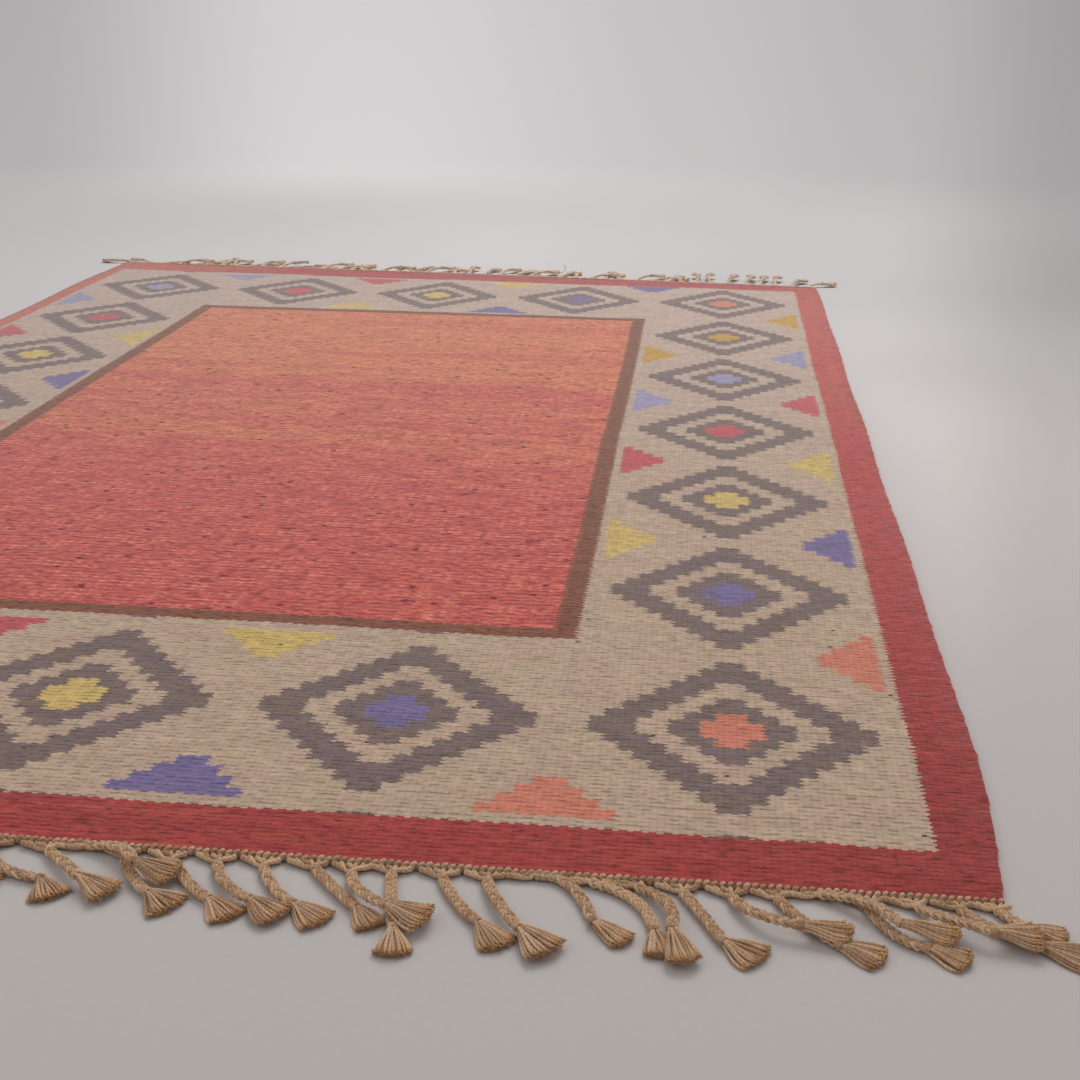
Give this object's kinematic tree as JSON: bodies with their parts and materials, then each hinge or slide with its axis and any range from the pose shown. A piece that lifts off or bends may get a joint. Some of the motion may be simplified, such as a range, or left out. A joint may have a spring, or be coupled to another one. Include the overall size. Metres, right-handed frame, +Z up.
{
  "type": "flatweave rug",
  "caption": "Flat-woven wool rug with a plain field, a framed border and knotted, braided fringe at both ends.",
  "frame": {"origin": "middle of the cloth's underside, on the floor", "axes": "+X across the rug to the right, +Y along the rug away from the front end, +Z up"},
  "size_m": [1.6803, 2.7254, 0.0085],
  "materials": {
    "wool_weave": "weft-faced flat weave in wool, matt, with interlocked colour joins and mixed-shade yarns",
    "warp_cord": "unbleached warp cord, knotted, braided and brushed out to tassels"
  },
  "bodies": {
    "root": {"rug_cloth": "wool_weave", "fringe_front": "warp_cord", "fringe_back": "warp_cord"}
  },
  "joints": []
}
